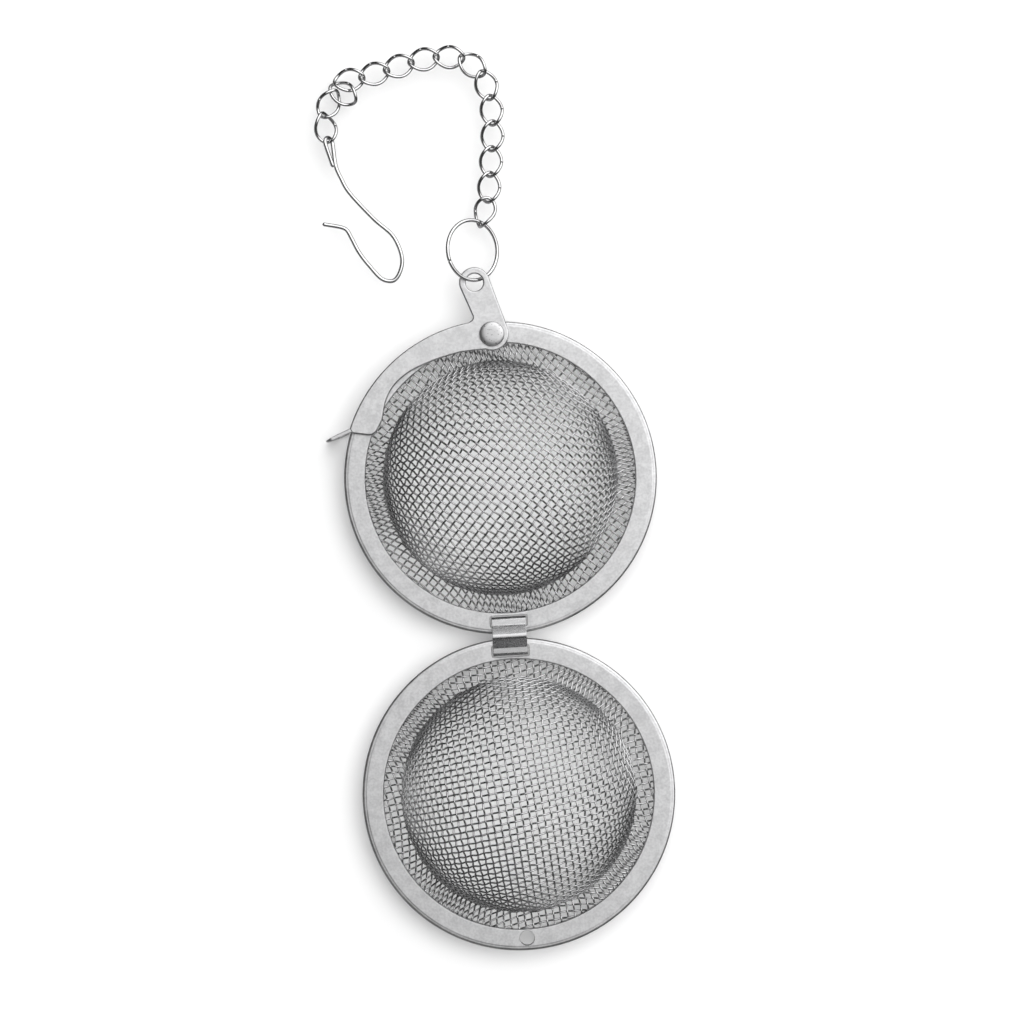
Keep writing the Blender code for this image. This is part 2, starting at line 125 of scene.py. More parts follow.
# Weave: round wires, over one and under one, on a domed surface.
WIRE = 0.31 * MM
FLANGE_RADIUS = 23.7 * MM
DOME_RADIUS = 18.9 * MM
DOME_HEIGHT = 17.25 * MM
DOME_FILLET = 0.9 * MM
DOME_STEPS = 400
FILLET_STEPS = 40
FLANGE_STEPS = 60
WEAVE_SIDES = 6
WEAVE_STEPS = 3
NET_SIZE = 44
NET_ROUNDS = 12
NET_CLOSE = 1e-9
LEAST_CROSSINGS = 4
WEAVE_ROOM = 0.25 * MM
WEAVE_MARGIN = 3.3 * MM
# A wire's slow straying from its place: how far, and each wave's length and start.
SWAY = 0.12 * MM
SWAY_FORWARD = ((4.1 * MM, 1.3), (5.3 * MM, 0.4))
SWAY_ASIDE = ((5.9 * MM, 2.1), (3.7 * MM, 0.9))
# Each cloth's turn, the angle between its two directions, and the pitch of its crossings in each direction.
UPPER_CLOTH = (math.radians(48.7), math.radians(91), 1.0 * MM, 1.27 * MM)
LOWER_CLOTH = (math.radians(10), math.radians(86), 1.17 * MM, 1.02 * MM)

# Lever, catch and rivet.
LEVER_SHEET = 0.6 * MM
BOSS_RADIUS = 2.75 * MM
BOSS_START = math.radians(-115)
BOSS_STEPS = 20
EYE_RADIUS = 2.5 * MM
ARC_STEPS = 32
EYE_HOLE_RADIUS = 1.42 * MM
EYE = Vector((-2.38, 8.51)) * MM
LEVER_HOLE_RADIUS = 0.95 * MM
ARM_OVERHANG = 0.3 * MM
ARM_NECK_ANGLE = math.radians(96.2)
ARM_NECK_OVERHANG = 0.8 * MM
ARM_NECK_BEND = 0.7 * MM
ARM_SHOULDER_ANGLE = math.radians(98)
ARM_BACK_ANGLE = math.radians(99.5)
ARM_TIP_ANGLE = math.radians(160)
ARM_TIP_SLANT = math.radians(1.6)
ARM_TIP_OUTSET = 0.62 * MM
ARM_HEEL_ANGLE = math.radians(153)
ARM_CORNER = 0.55 * MM
ARM_TIP_BENDS = (0.5 * MM, 1.6 * MM, 0.5 * MM)
ARM_BACK_STEPS = 40
ARM_FRONT_STEPS = 6
# The arm's inner edge from its heel to its boss: degrees about the rim's middle, and mm outside its bore.
ARM_FRONT = (
    (150, -0.55),
    (146.7, -0.09),
    (143.1, 0.38),
    (139.1, 0.76),
    (133.5, 0.9),
    (127, 0.68),
    (117.6, 0),
    (111.2, -0.36),
    (104.7, -0.6),
    (98.4, -0.86),
)
ARM_EDGE = 0.26 * MM
CATCH_START = Vector((-24.0, -14.4)) * MM
CATCH_END = Vector((-28.0, -15.95)) * MM
CATCH_SHEET = 0.7 * MM
CATCH_EDGE = 0.1 * MM
CATCH_SINK = 0.05 * MM
CATCH_LIFT = 0.08 * MM
CATCH_ROOT = 1.5 * MM
CATCH_NOTCH = 2.4 * MM
CATCH_JAW = 0.5 * MM
CATCH_DROP = 0.4 * MM
CATCH_SLOT = 0.35 * MM
CATCH_THINNING = 0.6
CATCH_THINNING_LEAD = 0.6 * MM
CATCH_THINNING_POWER = 1.5
RIVET_HEAD_RADIUS = 2.05 * MM
RIVET_HEAD_HEIGHT = 0.8 * MM
RIVET_FLATNESS = 0.5
RIVET_SHANK_RADIUS = 0.7 * MM
RIVET_TAIL_RADIUS = 1.0 * MM
RIVET_TAIL_HEIGHT = 0.5 * MM
RIVET_TAIL_BEND = 0.2 * MM
RIVET_HEAD_STEPS = 24
RIVET_TAIL_STEPS = 6
RIVET_STEPS = 64
RIVET_PLAY = 0.15 * MM

# Chain, ring and hook.
RING_RADIUS = 4.9 * MM
RING_WIRE = 0.6 * MM
RING_TILT = math.radians(35)
RING_GAP = 0.04 * MM
RING_GAP_AT = math.radians(200)
RING_STEPS = 120
WIRE_SIDES = 20
LINKS = 15
LINK_LENGTH = 5.43 * MM
LINK_WIDTH = 3.98 * MM
LINK_WIRE = 0.53 * MM
LINK_TWIST = math.radians(45)
LINK_GAP = 0.006
LINK_STEPS = 72
LINK_SIDES = 16
HOOK_WIRE = 0.65 * MM
TIP_STEPS = 5
TIP_LEAST = 0.04
HOOK_EYE_RADIUS = 1.0 * MM
HOOK_EYE_LENGTH = 4.5 * MM
HOOK_EYE_SPREAD = math.radians(105)
HOOK_EYE_STEPS = 8
HOOK_STEPS = 10
# The eye's heading, climb and roll in degrees.
HOOK_EYE_TURN = (281, 0, -55)
HOOK_EYE_SEAT = 0.42 * MM
HOOK_NECK = 0.3 * MM
HOOK_TAIL = 0.45 * MM
# The shank from the eye to the tip, in mm from the hook's joint.
HOOK_SHANK = (
    (1.76, -6.36),
    (2.71, -8.36),
    (6.71, -13.26),
    (9.81, -16.46),
    (10.91, -20.56),
    (9.5, -23.4),
    (7.7, -23.25),
    (5.5, -20.8),
    (3.95, -18.5),
    (2.94, -16.3),
    (2.28, -14.95),
    (1.7, -14.47),
    (-1.7, -13.6),
)

# Light: the way towards its brightest side, and its brightness by the cosine from that way.
LIGHT_SIDE = (0.5, 0.5, 0.72)
LIGHT_STEPS = ((-1.0, 0.45), (-0.7, 0.35), (-0.2, 0.05), (0.5, 0.05), (0.82, 1.9), (1.0, 2.2))
# Floor: its reach each way, its gap under the object, and the lights that only it receives.
FLOOR_REACH = 3.0
FLOOR_GAP = 0.05 * MM
FLOOR_SOFT = 0.5
FLOOR_EVEN = 1.0
FLOOR_LIGHT_SIZE = 2.0
FLOOR_LIGHT_HEIGHT = 1.2

# Camera: straight above, far enough away that the domes hardly lean.
CAMERA_HEIGHT = 0.7
CAMERA_SENSOR = 36
CAMERA_NEAR = 0.01
VIEW_WIDTH = 164.6 * MM
VIEW_CENTRE = (0.5 * MM, 20.43 * MM)
VIEW_ROLL = math.radians(3.34)


def joint_at(name):
    """A joint's place."""
    return Vector(JOINTS[name]["pos_m"])


def box_middle(node):
    """The middle of a CAD node's box."""
    low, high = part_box(node)
    return (low + high) / 2


# Places read from the frame: the rims' middles on their mating faces, the hinge, the rivet and the lever.
rim_low, rim_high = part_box("upper_rim")
RIM_RADIUS = (rim_high.x - rim_low.x) / 2
RIM_THICKNESS = rim_high.z - rim_low.z
FACE_Z = rim_low.z
RIM_CENTRE = {half: box_middle(half + "_rim") for half in ("upper", "lower")}
for centre in RIM_CENTRE.values():
    centre.z = FACE_Z
HINGE_Y = (joint_at("strap_fold").y + joint_at("half_fold").y) / 2
BAR_Z = joint_at("strap_fold").z
RIM_REACH = RIM_CENTRE["upper"].y - HINGE_Y
EDGE_GAP = 2 * (RIM_REACH - RIM_RADIUS)
RIVET_AT = joint_at("latch_swing")
LEVER_Z = RIVET_AT.z
HOLE_REACH = RIVET_AT.y - RIM_CENTRE["upper"].y


def mesh_object(name, mesh, finish, body, stands_for=()):
    """Adds a piece, gives it its finish and makes it ride on its body."""
    piece = bpy.data.objects.new(name, mesh)
    bpy.context.scene.collection.objects.link(piece)
    mesh.materials.clear()
    mesh.materials.append(finish)
    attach(piece, body)
    if stands_for:
        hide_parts(*stands_for)
    return piece


def smooth(mesh):
    """Shades a mesh round, except over its sharp edges."""
    mesh.shade_smooth()
    mesh.set_sharp_from_angle(angle=SHARP_ANGLE)
    return mesh


# ---------------------------------------------------------------- shapes


def frames_along(points):
    """Two cross directions at each point of a line, turned as little as possible along it."""
    ahead = np.roll(points, -1, axis=0)
    behind = np.roll(points, 1, axis=0)
    ahead[-1] = points[-1]
    behind[0] = points[0]
    tangents = ahead - behind
    tangents /= np.linalg.norm(tangents, axis=1)[:, None]
    start = np.array([0.0, 0.0, 1.0])
    if abs(tangents[0] @ start) > 0.9:
        start = np.array([1.0, 0.0, 0.0])
    sides = []
    side = start
    for tangent in tangents:
        side = side - tangent * (side @ tangent)
        side = side / np.linalg.norm(side)
        sides.append(side)
    sides = np.array(sides)
    return sides, np.cross(tangents, sides)


def tube(points, radii, sides):
    """Points and faces of a round wire along a line, without its ends."""
    points = np.asarray(points, float)
    across, up = frames_along(points)
    radii = np.broadcast_to(radii, len(points))
    turns = (2 * math.pi * np.arange(sides) / sides)[None, :, None]
    ring = np.cos(turns) * across[:, None, :] + np.sin(turns) * up[:, None, :]
    places = (points[:, None, :] + ring * radii[:, None, None]).reshape(-1, 3)
    step = np.arange(len(points) - 1)[:, None]
    side = np.arange(sides)[None, :]
    after = step + 1
    beside = (side + 1) % sides
    faces = np.stack(
        [step * sides + side, step * sides + beside, after * sides + beside, after * sides + side], axis=-1
    )
    return places, faces.reshape(-1, 4)


def mesh_of_tubes(name, tubes, sides):
    """One mesh of many tubes, with flat caps on their ends."""
    places = []
    faces = []
    base = 0
    for spots, quads in tubes:
        places.append(spots)
        faces.extend((quads + base).tolist())
        faces.append([base + side for side in reversed(range(sides))])
        last = base + len(spots) - sides
        faces.append([last + side for side in range(sides)])
        base += len(spots)
    mesh = bpy.data.meshes.new(name)
    mesh.from_pydata(np.concatenate(places).tolist(), [], faces)
    mesh.update()
    mesh.shade_smooth()
    return mesh


def round_tips(points, radius):
    """A wire's line with the points that round tips need, and its radius at each of them."""
    turns = [math.pi / 2 * step / TIP_STEPS for step in range(TIP_STEPS)]
    first = points[0]
    last = points[-1]
    inward = (points[1] - points[0]).normalized()
    outward = (points[-2] - points[-1]).normalized()
    head = [first + inward * radius * (1 - math.cos(turn)) for turn in turns]
    tail = [last + outward * radius * (1 - math.cos(turn)) for turn in turns]
    sizes = [max(TIP_LEAST, math.sin(turn)) * radius for turn in turns]
    middle = [p for p in points if (p - first).length > radius and (p - last).length > radius]
    return [*head, *middle, *tail[::-1]], [*sizes, *[radius] * len(middle), *sizes[::-1]]


def lathe(name, profile, steps):
    """A solid turned about Z from a closed ring of (radius, height) points."""
    turns = 2 * math.pi * np.arange(steps) / steps
    profile = np.array(profile)
    radius = profile[:, 0]
    places = np.stack(
        [
            radius[None] * np.cos(turns)[:, None],
            radius[None] * np.sin(turns)[:, None],
            np.broadcast_to(profile[:, 1], (steps, len(profile))),
        ],
        axis=-1,
    ).reshape(-1, 3)
    size = len(profile)
    step = np.arange(steps)[:, None]
    spot = np.arange(size)[None, :]
    after = (step + 1) % steps
    above = (spot + 1) % size
    faces = np.stack(
        [step * size + spot, after * size + spot, after * size + above, step * size + above], axis=-1
    )
    mesh = bpy.data.meshes.new(name)
    mesh.from_pydata(places.tolist(), [], faces.reshape(-1, 4).tolist())
    mesh.update()
    bm = bmesh.new()
    bm.from_mesh(mesh)
    bmesh.ops.remove_doubles(bm, verts=bm.verts[:], dist=LATHE_WELD)
    bmesh.ops.delete(bm, geom=[edge for edge in bm.edges if edge.is_wire], context="EDGES")
    bmesh.ops.recalc_face_normals(bm, faces=bm.faces[:])
    bm.to_mesh(mesh)
    bm.free()
    return mesh


def arc(centre, radius, start, end, steps):
    """Points from one angle to another round a centre, both ends included."""
    turns = [start + (end - start) * step / steps for step in range(steps + 1)]
    return [Vector((centre[0] + radius * math.cos(t), centre[1] + radius * math.sin(t))) for t in turns]


def polar(centre, radius, angle):
    """A point at an angle on a circle."""
    return Vector((centre[0] + radius * math.cos(angle), centre[1] + radius * math.sin(angle)))


def fillet(before, corner, after, radius):
    """Points of the arc that rounds a corner."""
    first = (before - corner).normalized()
    second = (after - corner).normalized()
    half = first.angle(second) / 2
    room = CORNER_SHARE * min((before - corner).length, (after - corner).length)
    reach = min(radius / math.tan(half), room)
    radius = reach * math.tan(half)
    centre = corner + (first + second).normalized() * (radius / math.sin(half))
    start = corner + first * reach - centre
    end = corner + second * reach - centre
    sweep = start.angle_signed(end)
    angle = math.atan2(start.y, start.x)
    return arc(centre, radius, angle, angle - sweep, CORNER_STEPS)


def rounded(outline, radius, closed=True):
    """An outline with every corner rounded. radius is one number or one for each corner."""
    count = len(outline)
    radii = radius if isinstance(radius, (list, tuple)) else [radius] * count
    points = []
    for index, corner in enumerate(outline):
        if not closed and index in (0, count - 1):
            points.append(corner)
            continue
        points += fillet(outline[index - 1], corner, outline[(index + 1) % count], radii[index])
    return points


def plate(name, outline, holes, thickness, edge):
    """A flat plate about z = 0 with rounded edges, cut by holes, each a list of points."""
    curve = bpy.data.curves.new(name, "CURVE")
    curve.dimensions = "2D"
    curve.fill_mode = "BOTH"
    curve.extrude = thickness / 2 - edge
    curve.bevel_depth = edge
    curve.bevel_resolution = 3
    curve.offset = -edge
    for loop in [outline, *holes]:
        spline = curve.splines.new("POLY")
        spline.points.add(len(loop) - 1)
        for knot, point in zip(spline.points, loop):
            knot.co = (point[0], point[1], 0, 1)
        spline.use_cyclic_u = True
    holder = bpy.data.objects.new(name, curve)
    bpy.context.scene.collection.objects.link(holder)
    mesh = bpy.data.meshes.new_from_object(holder.evaluated_get(bpy.context.evaluated_depsgraph_get()))
    bpy.data.objects.remove(holder)
    bpy.data.curves.remove(curve)
    mesh.name = name
    bm = bmesh.new()
    bm.from_mesh(mesh)
    bmesh.ops.remove_doubles(bm, verts=bm.verts[:], dist=PLATE_WELD)
    bmesh.ops.recalc_face_normals(bm, faces=bm.faces[:])
    bm.to_mesh(mesh)
    bm.free()
    return mesh


def with_modifiers(name, mesh, build):
    """The mesh after the modifiers that build adds to a passing object."""
    holder = bpy.data.objects.new(name, mesh)
    bpy.context.scene.collection.objects.link(holder)
    tools = build(holder) or []
    made = bpy.data.meshes.new_from_object(holder.evaluated_get(bpy.context.evaluated_depsgraph_get()))
    bpy.data.objects.remove(holder)
    for tool in tools:
        bpy.data.objects.remove(tool)
    made.name = name
    return made


def merge_flats(mesh):
    """Joins the slivers that a cut leaves in a flat face."""
    bm = bmesh.new()
    bm.from_mesh(mesh)
    bmesh.ops.dissolve_limit(bm, angle_limit=FLAT_ANGLE, verts=bm.verts[:], edges=bm.edges[:])
    bm.to_mesh(mesh)
    bm.free()


def shaded(mesh):
    """The mesh with its bends shaded round and its flats shaded flat."""

    def weigh(holder):
        normals = holder.modifiers.new("normals", "WEIGHTED_NORMAL")
        normals.keep_sharp = True
        normals.weight = 100

    return with_modifiers(mesh.name, smooth(mesh), weigh)


# ---------------------------------------------------------------- finishes


class Finish:
    """A steel material, built node by node."""

    def __init__(self, name, colour, metallic=1.0):
        self.material = bpy.data.materials.new(name)
        self.material.use_nodes = True
        self.tree = self.material.node_tree
        self.shader = self.tree.nodes["Principled BSDF"]
        self.shader.inputs["Base Color"].default_value = (*colour, 1)
        self.shader.inputs["Metallic"].default_value = metallic
        self.place = self.node("ShaderNodeTexCoord").outputs["Object"]

    def node(self, kind, **settings):
        made = self.tree.nodes.new(kind)
        for key, value in settings.items():
            setattr(made, key, value)
        return made

    def link(self, start, end):
        self.tree.links.new(start, end)

    def noise(self, scale, detail=3.0, stretch=(1, 1, 1)):
        """A noise value from 0 to 1. scale is in features per metre."""
        mapping = self.node("ShaderNodeMapping")
        mapping.inputs["Scale"].default_value = stretch
        self.link(self.place, mapping.inputs["Vector"])
        made = self.node("ShaderNodeTexNoise")
        made.inputs["Scale"].default_value = scale
        made.inputs["Detail"].default_value = detail
        self.link(mapping.outputs["Vector"], made.inputs["Vector"])
        return made.outputs["Fac"]

    def spread(self, value, low, high, start=0.3, end=0.7):
        """The value taken from start..end to low..high."""
        made = self.node("ShaderNodeMapRange")
        made.inputs["From Min"].default_value = start
        made.inputs["From Max"].default_value = end
        made.inputs["To Min"].default_value = low
        made.inputs["To Max"].default_value = high
        self.link(value, made.inputs["Value"])
        return made.outputs["Result"]

    def add(self, first, second):
        made = self.node("ShaderNodeMath", operation="ADD")
        self.link(first, made.inputs[0])
        self.link(second, made.inputs[1])
        return made.outputs[0]

    def tint(self, value, dark, light):
        """Base colour from dark to light, following a value from 0 to 1."""
        ramp = self.node("ShaderNodeValToRGB")
        ramp.color_ramp.elements[0].color = (*dark, 1)
        ramp.color_ramp.elements[1].color = (*light, 1)
        self.link(value, ramp.inputs["Fac"])
        self.link(ramp.outputs["Color"], self.shader.inputs["Base Color"])

    def rough(self, value):
        self.link(value, self.shader.inputs["Roughness"])

    def bump(self, value, distance, strength):
        made = self.node("ShaderNodeBump")
        made.inputs["Distance"].default_value = distance
        made.inputs["Strength"].default_value = strength
        self.link(value, made.inputs["Height"])
        self.link(made.outputs["Normal"], self.shader.inputs["Normal"])


def sheet_finish():
    """Satin pressed sheet: cloudy, with a fine grain and scattered specks."""
    finish = Finish("satin_sheet_steel", (0.55, 0.55, 0.55))
    clouds = finish.noise(420, 4)
    specks = finish.noise(2600, 2)
    mottle = finish.add(clouds, finish.spread(specks, -0.12, 0.12, 0.35, 0.65))
    finish.tint(finish.spread(mottle, 0, 1), (0.52, 0.52, 0.525), (0.68, 0.68, 0.685))
    grain = finish.noise(900, 5)
    finish.rough(finish.spread(finish.add(clouds, grain), 0.3, 0.46, 0.7, 1.3))
    finish.bump(finish.add(grain, specks), 0.012 * MM, 0.6)
    return finish.material


def strap_finish():
    """The same sheet where it is bent round the hinge: rubbed smoother, and painted darker than the rims as
    painted shade.
    """
    finish = Finish("rubbed_sheet_steel_painted_shade", (0.55, 0.55, 0.55))
    scuffs = finish.noise(900, 4, (1, 6, 6))
    # The whole strap is painted darker than the rim sheet. This is painted shade for its darker look under
    # the light; the scuffs only vary it.
    finish.tint(finish.spread(scuffs, 0, 1), (0.42, 0.42, 0.425), (0.54, 0.54, 0.545))
    finish.rough(finish.spread(scuffs, 0.2, 0.3))
    finish.bump(scuffs, 0.006 * MM, 0.4)
    return finish.material


def weave_finish():
    """Drawn wire, a little duller in patches."""
    finish = Finish("woven_wire_steel", (0.6, 0.6, 0.6))
    clouds = finish.noise(300, 3)
    finish.tint(finish.spread(clouds, 0, 1), (0.45, 0.45, 0.455), (0.6, 0.6, 0.605))
    finish.rough(finish.spread(finish.noise(2200, 3), 0.08, 0.2))
    finish.bump(finish.noise(9000, 2), 0.004 * MM, 0.4)
    return finish.material


def wire_finish():
    """Bright drawn wire with faint scuffs."""
    finish = Finish("bright_wire_steel", (0.66, 0.66, 0.66))
    clouds = finish.noise(700, 3)
    finish.tint(finish.spread(clouds, 0, 1), (0.58, 0.58, 0.585), (0.74, 0.74, 0.745))
    finish.rough(finish.spread(finish.noise(1800, 4), 0.08, 0.22))
    finish.bump(finish.noise(5200, 3), 0.006 * MM, 0.4)
    return finish.material


def rivet_finish():
    """A domed head with small dings, painted dark in them as painted shade."""
    finish = Finish("bright_rivet_steel", (0.55, 0.55, 0.55))
    dings_and_painted_shade = finish.noise(3600, 1)
    # The dings are painted near black in the base colour, as painted shade in them; the bump below dents
    # them.
    finish.tint(finish.spread(dings_and_painted_shade, 0, 1, 0.28, 0.36), (0.2, 0.2, 0.2), (0.6, 0.6, 0.605))
    finish.rough(finish.spread(finish.noise(2400, 3), 0.38, 0.5))
    finish.bump(dings_and_painted_shade, 0.02 * MM, 0.4)
    return finish.material


SHEET = sheet_finish()
WEAVE = weave_finish()
BENT_WIRE = wire_finish()
RIVET = rivet_finish()
STRAP = strap_finish()


# ---------------------------------------------------------------- weave


def dome_section():
    """The weave's middle surface: distance from the crown along it, radius, height, and its slope."""
    turns = np.linspace(math.pi / 2, 0, DOME_STEPS)
    radius = DOME_RADIUS * np.cos(turns)
    height = DOME_FILLET + (DOME_HEIGHT - DOME_FILLET) * np.sin(turns)
    bend = np.linspace(math.pi, 1.5 * math.pi, FILLET_STEPS)[1:]
    radius = np.concatenate([radius, DOME_RADIUS + DOME_FILLET * (1 + np.cos(bend))])
    height = np.concatenate([height, DOME_FILLET * (1 + np.sin(bend))])
    flange = np.linspace(radius[-1], FLANGE_RADIUS + WEAVE_MARGIN, FLANGE_STEPS)[1:]
    radius = np.concatenate([radius, flange])
    height = np.concatenate([height, np.zeros(len(flange))])
    along = np.concatenate([[0], np.cumsum(np.hypot(np.diff(radius), np.diff(height)))])
    return along, radius, height


ALONG, RADIUS, HEIGHT = dome_section()
SLOPE_R = np.gradient(RADIUS, ALONG)
SLOPE_Z = np.gradient(HEIGHT, ALONG)


def on_dome(along, angle):
    """Places on the weave's middle surface, and the outward directions there."""
    radius = np.interp(along, ALONG, RADIUS)
    height = np.interp(along, ALONG, HEIGHT)
    slope_r = np.interp(along, ALONG, SLOPE_R)
    slope_z = np.interp(along, ALONG, SLOPE_Z)
    cos, sin = np.cos(angle), np.sin(angle)
    places = np.stack([radius * cos, radius * sin, height], -1)
    normals = np.stack([-slope_z * cos, -slope_z * sin, slope_r], -1)
    return places, normals / np.linalg.norm(normals, axis=-1)[..., None]


def meet(first, second, reaches, guess):
    """The point of the surface at these reaches from two others, near a first guess of (along, angle)."""
    along, angle = guess
    for _ in range(NET_ROUNDS):
        radius = np.interp(along, ALONG, RADIUS)
        cos, sin = math.cos(angle), math.sin(angle)
        place = np.array([radius * cos, radius * sin, np.interp(along, ALONG, HEIGHT)])
        slope_r = np.interp(along, ALONG, SLOPE_R)
        by_along = np.array([slope_r * cos, slope_r * sin, np.interp(along, ALONG, SLOPE_Z)])
        by_angle = np.array([-radius * sin, radius * cos, 0])
        to_first, to_second = place - first, place - second
        rows = 2 * np.array([[to @ by_along, to @ by_angle] for to in (to_first, to_second)])
        error = np.array([to_first @ to_first, to_second @ to_second]) - np.square(reaches)
        change = np.linalg.solve(rows, error)
        size = max(abs(change[0]) / min(reaches), abs(change[1]) * radius / min(reaches), 1)
        along -= change[0] / size
        angle -= change[1] / size
        if abs(change).max() < NET_CLOSE:
            break
    return along, angle, place


def net_quarter(opening, pitch, cross_pitch):
    """Where an unstretched net's crossings lie on the dome, for one quarter between two straight wires."""
    along = np.full((NET_SIZE, NET_SIZE), np.nan)
    angle = np.full((NET_SIZE, NET_SIZE), np.nan)
    places = np.full((NET_SIZE, NET_SIZE, 3), np.nan)
    for step in range(NET_SIZE):
        for cell, turn, reach in (((step, 0), 0.0, pitch), ((0, step), opening, cross_pitch)):
            along[cell] = step * reach
            angle[cell] = turn
            places[cell] = on_dome(along[cell], turn)[0]
    for total in range(2, 2 * NET_SIZE - 1):
        for i in range(max(1, total - NET_SIZE + 1), min(total, NET_SIZE)):
            j = total - i
            first, second, before = (i, j - 1), (i - 1, j), (i - 1, j - 1)
            if np.isnan(along[first]) or np.isnan(along[second]):
                continue
            if min(along[first], along[second]) > ALONG[-1] - pitch - cross_pitch:
                continue
            aim = places[first] + places[second] - places[before]
            ahead = (along[first] + along[second]) / 2 + (pitch + cross_pitch) / 4
            guess = (ahead, math.atan2(aim[1], aim[0]))
            found = meet(places[first], places[second], (cross_pitch, pitch), guess)
            along[i, j], angle[i, j], places[i, j] = found
    return along, angle


def net(opening, pitch, cross_pitch):
    """The net's quarter between its two forward directions, and the one beside it."""
    return [net_quarter(corner, pitch, cross_pitch) for corner in (opening, math.pi - opening)]


def sway(u, v):
    """Flat coordinates moved a little from where the net puts them, slowly changing from place to place."""
    (length_a, start_a), (length_b, start_b) = SWAY_FORWARD
    (length_c, start_c), (length_d, start_d) = SWAY_ASIDE
    forward = np.sin(u / length_a + start_a) * np.cos(v / length_b + start_b)
    aside = np.cos(u / length_c + start_c) * np.sin(v / length_d + start_d)
    return u + SWAY * forward, v + SWAY * aside


def net_row(quarters, number, lengthwise):
    """One wire's crossings as (counts along it, flat coordinates u and v)."""
    counts = []
    spots = []
    for count in range(1 - NET_SIZE, NET_SIZE):
        i, j = (count, number) if lengthwise else (number, count)
        along, angle = (values[abs(i), abs(j)] for values in quarters[i * j < 0])
        if not np.isnan(along):
            forward = 1 if i > 0 or (i == 0 and j > 0) else -1
            upward = 1 if j >= 0 else -1
            counts.append(count)
            spots.append((forward * along * math.cos(angle), upward * along * math.sin(angle)))
    return np.array(counts), np.array(spots)


def between(spots, steps):
    """A Catmull-Rom line through evenly counted spots, with this many steps from one to the next."""
    padded = np.concatenate([[2 * spots[0] - spots[1]], spots, [2 * spots[-1] - spots[-2]]])
    p0, p1, p2, p3 = padded[:-3], padded[1:-2], padded[2:-1], padded[3:]
    line = []
    for step in range(steps):
        t = step / steps
        square = (2 * p0 - 5 * p1 + 4 * p2 - p3) * t**2
        cube = (3 * p1 - p0 - 3 * p2 + p3) * t**3
        line.append(0.5 * (2 * p1 + (p2 - p0) * t + square + cube))
    return np.concatenate([np.stack(line, 1).reshape(-1, spots.shape[1]), spots[-1:]])


def weave(name, centre, quarters, turn, side, lengthwise):
    """All the wires of one direction. side is +1 where the hinge lies towards -Y, -1 where towards +Y."""
    tubes = []
    for number in range(1 - NET_SIZE, NET_SIZE):
        counts, spots = net_row(quarters, number, lengthwise)
        if len(counts) < LEAST_CROSSINGS:
            continue
        line = between(spots, WEAVE_STEPS)
        count = counts[0] + np.arange(len(line)) / WEAVE_STEPS
        u, v = sway(line[:, 0], line[:, 1])
        along = np.hypot(u, v)
        places, normals = on_dome(along, np.arctan2(v, u) + turn)
        parity = (-1) ** abs(number) * (1 if lengthwise else -1)
        places = places + normals * (WIRE / 2 * parity * np.cos(math.pi * count))[:, None]
        keep = weave_kept(places, side)
        edges = np.flatnonzero(np.diff(np.concatenate([[False], keep, [False]]).astype(int)))
        for first, last in edges.reshape(-1, 2):
            if last - first > WEAVE_STEPS:
                tubes.append(tube(places[first:last] + np.array(centre), WIRE / 2, WEAVE_SIDES))
    return mesh_of_tubes(name, tubes, WEAVE_SIDES)


def weave_kept(places, side):
    """Which of these places lie inside the rim's groove, clear of the hinge slot and the hole."""
    radius = np.hypot(places[:, 0], places[:, 1])
    to_slot = (RIM_REACH + places[:, 1] * side) - (EDGE_GAP / 2 + BAR_WIDTH + SLOT_WIDTH)
    in_slot = (abs(places[:, 0]) < SLOT_LENGTH / 2 + WEAVE_ROOM) & (to_slot < WEAVE_ROOM)
    to_hole = np.hypot(places[:, 0], places[:, 1] - side * HOLE_REACH)
    return (radius < FLANGE_RADIUS) & ~in_slot & (to_hole > TAIL_HOLE_RADIUS + WEAVE_ROOM)


# ---------------------------------------------------------------- rims and hinge


def rim_section():
    """The folded rim's section as (radius, height above the mating face), from its inner top lip on."""
    top = RIM_THICKNESS
    outer = RIM_RADIUS
    lip = (RIM_BORE + LIP_EDGE, top - LIP_EDGE)
    half = [tuple(p) for p in arc(lip, LIP_EDGE, math.pi, math.pi / 2, LIP_STEPS)]
    for step in range(STEP_SLICES + 1):
        dip = STEP_DEPTH * (1 - math.cos(math.pi * step / STEP_SLICES)) / 2
        half.append((outer - STEP_INSET + STEP_WIDTH * step / STEP_SLICES, top - dip))
    hem = (outer - RIM_HEM, top - STEP_DEPTH - RIM_HEM)
    half += [tuple(p) for p in arc(hem, RIM_HEM, math.pi / 2, 0, CORNER_STEPS)]
    half += [(outer, top / 2 + SEAM_HALF), (outer - SEAM_DEPTH, top / 2 + SEAM_ROOT)]
    inside = [(RIM_BORE, top - RIM_SHEET), (GROOVE_RADIUS, top - RIM_SHEET)]
    lower = [(radius, top - height) for radius, height in reversed(half)]
    return half + lower + [(radius, top - height) for radius, height in inside] + inside[::-1]


def prism(name, loops):
    """A solid through outlines at rising heights, as (height, points)."""
    bm = bmesh.new()
    rings = [[bm.verts.new((x, y, height)) for x, y in outline] for height, outline in loops]
    for low, high in zip(rings, rings[1:]):
        for a, b, c, d in zip(low, low[1:] + low[:1], high[1:] + high[:1], high):
            bm.faces.new((a, b, c, d))
    bm.faces.new(rings[0][::-1])
    bm.faces.new(rings[-1])
    bmesh.ops.recalc_face_normals(bm, faces=bm.faces[:])
    mesh = bpy.data.meshes.new(name)
    bm.to_mesh(mesh)
    bm.free()
    return mesh


def cutter(name, outline_at, at):
    """A cutter through the rim whose mouths flare, so that the cut's edges are broken."""
    top = RIM_THICKNESS
    mouth = CUT_REACH + CUT_BEVEL
    heights = [(-CUT_REACH, mouth), (CUT_BEVEL, 0), (top - CUT_BEVEL, 0), (top + CUT_REACH, mouth)]
    mesh = prism(name, [(height, outline_at(grown)) for height, grown in heights])
    made = bpy.data.objects.new(name, mesh)
    made.location = at
    bpy.context.scene.collection.objects.link(made)
    return made


